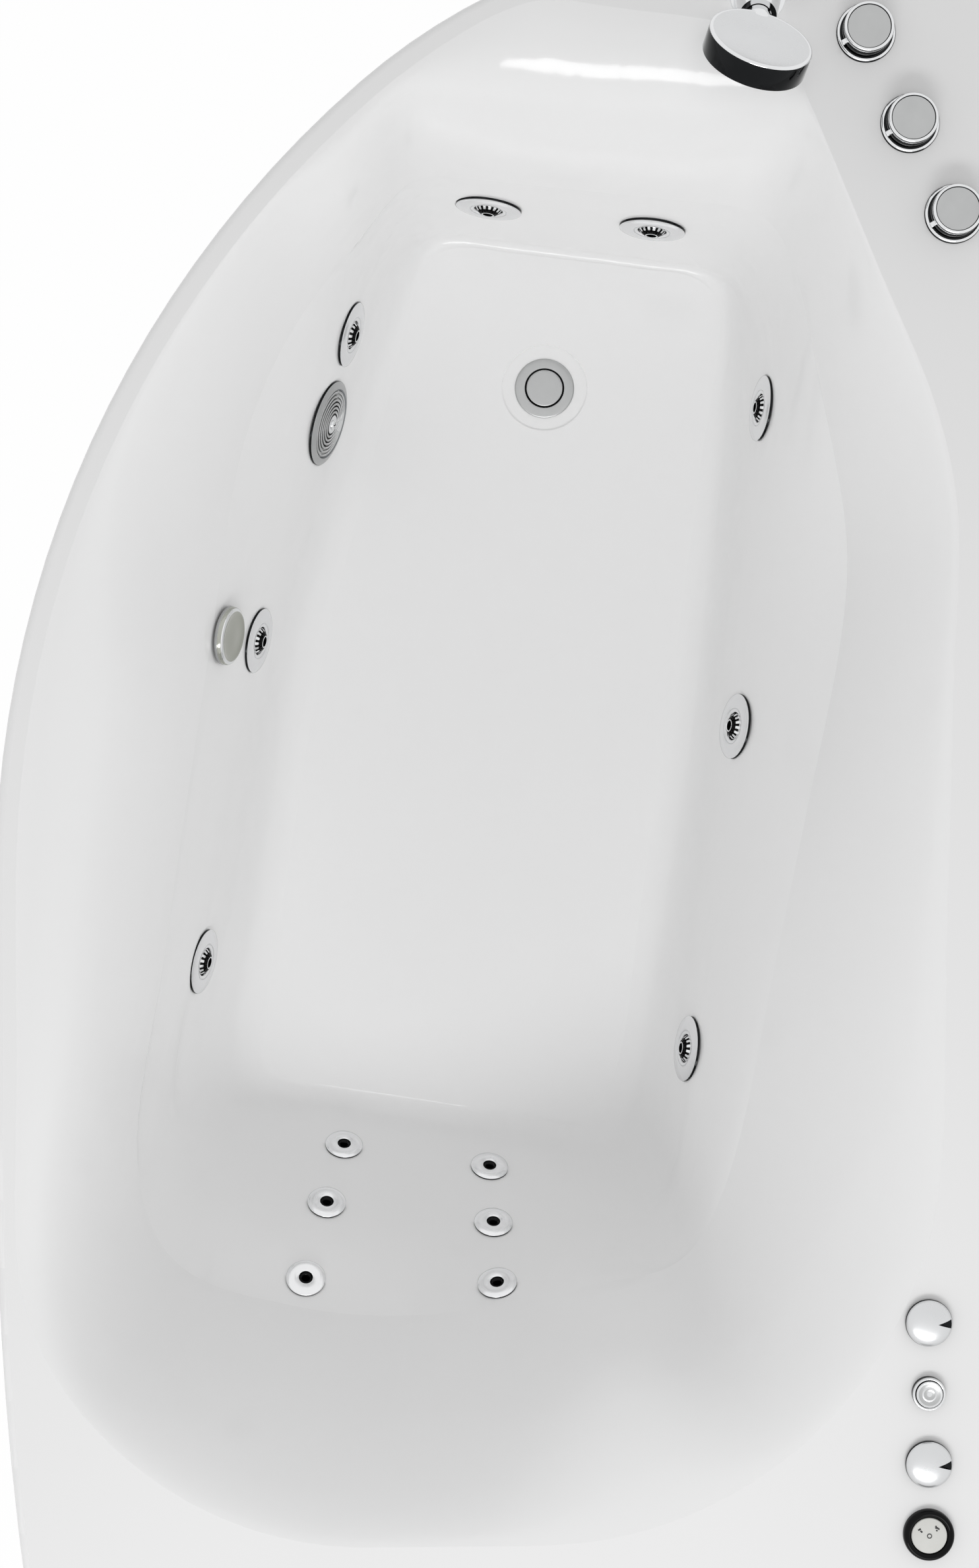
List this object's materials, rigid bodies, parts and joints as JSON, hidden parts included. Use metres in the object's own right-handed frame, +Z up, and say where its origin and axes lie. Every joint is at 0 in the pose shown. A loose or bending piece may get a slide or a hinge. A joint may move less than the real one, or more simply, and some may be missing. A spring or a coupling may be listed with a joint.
{
  "type": "jetted bathtub",
  "caption": "White asymmetric acrylic jetted bath with a curved front, deck taps, hand shower, swivelling wall jets, back jets, and pump, pipes and steel frame below.",
  "frame": {"origin": "on the room's floor, under the middle of the rim's rectangle", "axes": "+Z up, +Y towards the drain and taps, +X towards the straight wall side"},
  "size_m": [1, 1.7, 0.7235],
  "materials": {
    "acrylic_white": "moulded white sanitary acrylic, gloss",
    "panel_white": "white acrylic sheet, gloss",
    "board_resin": "chipboard encapsulated in resin, matt",
    "frame_steel": "galvanised tube, grey",
    "zinc_steel": "zinc-plated steel",
    "foot_black": "black nylon on a plated rod",
    "fitting_chrome": "polished chrome plate",
    "satin_metal": "satin face",
    "black_plastic": "black moulded plastic",
    "gloss_black": "gloss black ring",
    "pale_disc": "pale grey touch face",
    "grey_plastic": "grey plated plastic",
    "pipe_pvc": "white pvc pipe",
    "hose_grey": "grey flexible air hose",
    "pump_black": "glass-filled black plastic",
    "motor_blue": "dark painted casing",
    "brass_valve": "machined brass",
    "trap_white": "white polypropylene"
  },
  "bodies": {
    "bath": {"air_control_bodies": "black_plastic", "air_pipes": "hose_grey", "back_jet_bodies": "black_plastic", "back_jet_faces": "fitting_chrome", "back_jet_nozzles": "black_plastic", "base_board": "board_resin", "bath_shell": "acrylic_white", "button_housing": "fitting_chrome", "control_bezel": "gloss_black", "control_disc": "pale_disc", "drain_body": "trap_white", "drain_flange": "fitting_chrome", "foot_locknuts": "zinc_steel", "front_panel": "panel_white", "jet_bodies": "black_plastic", "jet_locknuts": "grey_plastic", "jet_rings": "fitting_chrome", "overflow_body": "trap_white", "overflow_cable": "hose_grey", "overflow_pipe": "trap_white", "panel_brackets": "zinc_steel", "panel_screws": "zinc_steel", "pump_motor_casing": "motor_blue", "pump_tray": "frame_steel", "pump_volute": "pump_black", "shower_holder": "fitting_chrome", "suction_body": "black_plastic", "suction_grille": "satin_metal", "suction_pipe": "pipe_pvc", "suction_screw": "zinc_steel", "support_frame": "frame_steel", "tap_flanges": "fitting_chrome", "tap_valves": "brass_valve", "waste_trap": "trap_white", "water_pipes": "pipe_pvc"},
    "foot_1": {"levelling_foot_1": "foot_black"},
    "foot_2": {"levelling_foot_2": "foot_black"},
    "foot_3": {"levelling_foot_3": "foot_black"},
    "foot_4": {"levelling_foot_4": "foot_black"},
    "foot_5": {"levelling_foot_5": "foot_black"},
    "eyeball_1": {"jet_eyeball_1": "black_plastic"},
    "eyeball_2": {"jet_eyeball_2": "black_plastic"},
    "eyeball_3": {"jet_eyeball_3": "black_plastic"},
    "eyeball_4": {"jet_eyeball_4": "black_plastic"},
    "eyeball_5": {"jet_eyeball_5": "black_plastic"},
    "eyeball_6": {"jet_eyeball_6": "black_plastic"},
    "eyeball_7": {"jet_eyeball_7": "black_plastic"},
    "eyeball_8": {"jet_eyeball_8": "black_plastic"},
    "air_knob_1": {"air_knob_1": "fitting_chrome"},
    "air_knob_2": {"air_knob_2": "fitting_chrome"},
    "push_button": {"push_button": "satin_metal"},
    "tap_knob_1": {"tap_knob_1": "fitting_chrome"},
    "tap_knob_2": {"tap_knob_2": "fitting_chrome"},
    "tap_knob_3": {"tap_knob_3": "fitting_chrome"},
    "handset": {"shower_handset": "fitting_chrome", "spray_face": "grey_plastic"},
    "overflow_knob": {"overflow_knob": "fitting_chrome"},
    "drain_plug": {"drain_plug": "satin_metal"},
    "rotor": {"pump_shaft": "zinc_steel", "pump_impeller": "grey_plastic"}
  },
  "joints": [
    {"name": "foot_1_level", "type": "slide", "parent": "bath", "child": "foot_1", "axis": [0, 0, 1], "range_m": [-0.01, 0.008]},
    {"name": "foot_2_level", "type": "slide", "parent": "bath", "child": "foot_2", "axis": [0, 0, 1], "range_m": [-0.01, 0.008]},
    {"name": "foot_3_level", "type": "slide", "parent": "bath", "child": "foot_3", "axis": [0, 0, 1], "range_m": [-0.01, 0.008]},
    {"name": "foot_4_level", "type": "slide", "parent": "bath", "child": "foot_4", "axis": [0, 0, 1], "range_m": [-0.01, 0.008]},
    {"name": "foot_5_level", "type": "slide", "parent": "bath", "child": "foot_5", "axis": [0, 0, 1], "range_m": [-0.01, 0.008]},
    {"name": "eyeball_1_swivel", "type": "hinge", "parent": "bath", "child": "eyeball_1", "pos_m": [-0.34514, -0.18478, 0.26813], "axis": [0.195, 0.9808, 0], "range_deg": [-18, 18]},
    {"name": "eyeball_2_swivel", "type": "hinge", "parent": "bath", "child": "eyeball_2", "pos_m": [-0.28323, 0.17616, 0.26819], "axis": [0.2197, 0.9756, 0], "range_deg": [-18, 18]},
    {"name": "eyeball_3_swivel", "type": "hinge", "parent": "bath", "child": "eyeball_3", "pos_m": [-0.17882, 0.52075, 0.26863], "axis": [0.2973, 0.9548, 0], "range_deg": [-18, 18]},
    {"name": "eyeball_4_swivel", "type": "hinge", "parent": "bath", "child": "eyeball_4", "pos_m": [-0.01456, 0.66144, 0.29971], "axis": [0.9888, -0.1491, 0], "range_deg": [-18, 18]},
    {"name": "eyeball_5_swivel", "type": "hinge", "parent": "bath", "child": "eyeball_5", "pos_m": [0.16701, 0.63804, 0.29957], "axis": [0.9916, -0.1295, 0], "range_deg": [-18, 18]},
    {"name": "eyeball_6_swivel", "type": "hinge", "parent": "bath", "child": "eyeball_6", "pos_m": [0.2991, 0.43444, 0.26842], "axis": [-0.0944, -0.9955, 0], "range_deg": [-18, 18]},
    {"name": "eyeball_7_swivel", "type": "hinge", "parent": "bath", "child": "eyeball_7", "pos_m": [0.26947, 0.07676, 0.26736], "axis": [-0.1268, -0.9919, 0], "range_deg": [-18, 18]},
    {"name": "eyeball_8_swivel", "type": "hinge", "parent": "bath", "child": "eyeball_8", "pos_m": [0.21556, -0.28548, 0.26795], "axis": [-0.1359, -0.9907, 0], "range_deg": [-18, 18]},
    {"name": "air_knob_1_turn", "type": "hinge", "parent": "bath", "child": "air_knob_1", "pos_m": [0.414, -0.513, 0.6], "axis": [0, 0, 1], "range_deg": [-90, 90]},
    {"name": "air_knob_2_turn", "type": "hinge", "parent": "bath", "child": "air_knob_2", "pos_m": [0.414, -0.651, 0.6], "axis": [0, 0, 1], "range_deg": [-90, 90]},
    {"name": "button_press", "type": "slide", "parent": "bath", "child": "push_button", "axis": [0, 0, -1], "range_m": [0, 0.003], "stiffness_N_per_m": 700, "springref_m": -0.0008},
    {"name": "tap_knob_1_turn", "type": "hinge", "parent": "bath", "child": "tap_knob_1", "pos_m": [0.439, 0.57, 0.6], "axis": [0, 0, 1], "range_deg": [0, 90]},
    {"name": "tap_knob_2_turn", "type": "hinge", "parent": "bath", "child": "tap_knob_2", "pos_m": [0.396, 0.6585, 0.6], "axis": [0, 0, 1], "range_deg": [-45, 45]},
    {"name": "tap_knob_3_turn", "type": "hinge", "parent": "bath", "child": "tap_knob_3", "pos_m": [0.353, 0.747, 0.6], "axis": [0, 0, 1], "range_deg": [0, 90]},
    {"name": "handset_lift", "type": "slide", "parent": "bath", "child": "handset", "axis": [-0.0888, -0.7229, 0.6853], "range_m": [0, 0.25]},
    {"name": "overflow_knob_turn", "type": "hinge", "parent": "bath", "child": "overflow_knob", "pos_m": [-0.3021, 0.17413, 0.368], "axis": [0.9451, -0.1712, 0.2784], "range_deg": [0, 90]},
    {"name": "drain_plug_lift", "type": "slide", "parent": "bath", "child": "drain_plug", "axis": [0, 0, 1], "range_m": [0, 0.012]},
    {"name": "pump_rotor_spin", "type": "hinge", "parent": "bath", "child": "rotor", "pos_m": [0.06, -0.672, 0.112], "axis": [1, 0, 0], "continuous": true}
  ],
  "couplings": [
    {"joint": "drain_plug_lift", "follows": "overflow_knob_turn", "m_per_rad": 0.007638}
  ]
}
